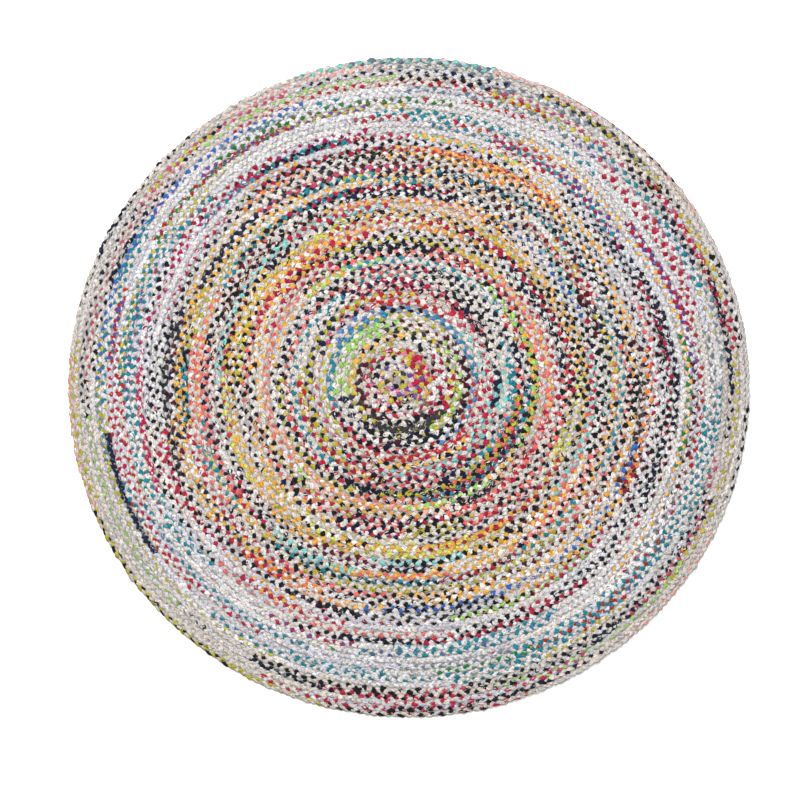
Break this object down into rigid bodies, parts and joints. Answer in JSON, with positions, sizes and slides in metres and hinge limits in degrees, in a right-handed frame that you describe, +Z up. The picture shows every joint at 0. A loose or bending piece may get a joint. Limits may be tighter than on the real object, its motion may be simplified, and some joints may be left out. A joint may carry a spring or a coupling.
{
  "type": "round braided rag rug",
  "caption": "Flat round rug: one cotton-rag braid wound in a spiral from the middle and sewn edge to edge, in mixed colours on off-white.",
  "frame": {"origin": "middle of the flat underside, on the floor", "axes": "+Z up through the rug's thickness, +X to the right and +Y away from the viewer; the outline is a circle about the origin"},
  "size_m": [1.83, 1.83, 0.009],
  "materials": {
    "cotton_rag": "matt woven cotton rag in mixed colours"
  },
  "bodies": {
    "root": {"braided_rug": "cotton_rag"}
  },
  "joints": []
}
